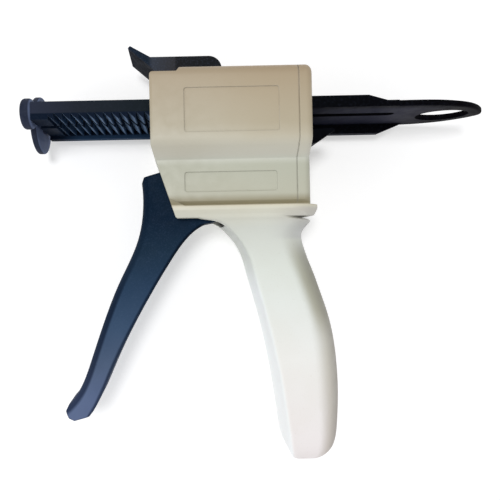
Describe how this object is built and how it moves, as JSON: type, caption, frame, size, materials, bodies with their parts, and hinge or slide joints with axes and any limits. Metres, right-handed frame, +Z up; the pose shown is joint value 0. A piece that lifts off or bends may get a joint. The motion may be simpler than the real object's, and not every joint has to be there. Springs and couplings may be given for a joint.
{
  "type": "dental dispensing gun",
  "caption": "Hand-squeezed dispensing gun for side-by-side cartridges, with a pistol grip, trigger, toothed plunger rods with a finger loop, latch lever and release lever.",
  "frame": {"origin": "under the middle of the whole gun, on the plane that it lies on", "axes": "+X to the finger loop at the rear, +Y to the latch on top, +Z up out of the left side; the gun lies on its right side"},
  "size_m": [0.2006, 0.18, 0.048],
  "materials": {
    "housing": "fine satin moulding",
    "trigger": "satin moulding",
    "plunger": "satin moulding",
    "piston": "satin moulding",
    "lever": "satin moulding",
    "latch": "fine satin moulding",
    "bush": "smooth acetal",
    "steel": "bright zinc",
    "hard_steel": "hardened, oiled",
    "spring": "drawn wire and strip"
  },
  "bodies": {
    "housing": {"left_shell": "housing", "right_shell": "housing", "rear_cover": "housing", "housing_screws": "steel", "cover_screws": "steel", "trigger_pin": "steel", "trigger_spring": "spring", "release_pin": "steel", "release_spring": "spring", "latch_pin": "steel", "latch_spring": "spring", "plunger_brake": "spring"},
    "plunger_set": {"plunger": "plunger", "small_piston": "piston", "large_piston": "piston", "piston_screws": "steel"},
    "trigger_set": {"trigger": "trigger", "trigger_bushes": "bush", "pawl_pin": "steel", "pawl_spring": "spring"},
    "pawl": {"drive_pawl": "hard_steel"},
    "release": {"release_lever": "lever"},
    "latch": {"latch_lever": "latch"}
  },
  "joints": [
    {"name": "plunger_slide", "type": "slide", "parent": "housing", "child": "plunger_set", "axis": [-1, 0, 0], "range_m": [-0.0612, 0.037]},
    {"name": "trigger_squeeze", "type": "hinge", "parent": "housing", "child": "trigger_set", "pos_m": [-0.0228, 0.03005, 0.024], "axis": [0, 0, 1], "range_deg": [0, 28], "stiffness_Nm_per_rad": 0.8, "springref_deg": -11.46},
    {"name": "pawl_click", "type": "hinge", "parent": "trigger_set", "child": "pawl", "pos_m": [-0.01049, 0.04581, 0.024], "axis": [0, 0, 1], "range_deg": [0, 12], "stiffness_Nm_per_rad": 0.02, "springref_deg": -11.46},
    {"name": "release_press", "type": "hinge", "parent": "housing", "child": "release", "pos_m": [0.0077, 0.04905, 0.024], "axis": [0, 0, 1], "range_deg": [0, 9], "stiffness_Nm_per_rad": 0.1, "springref_deg": -8.59},
    {"name": "latch_open", "type": "hinge", "parent": "housing", "child": "latch", "pos_m": [-0.0257, 0.07355, 0.024], "axis": [0, 0, -1], "range_deg": [0, 55]}
  ]
}
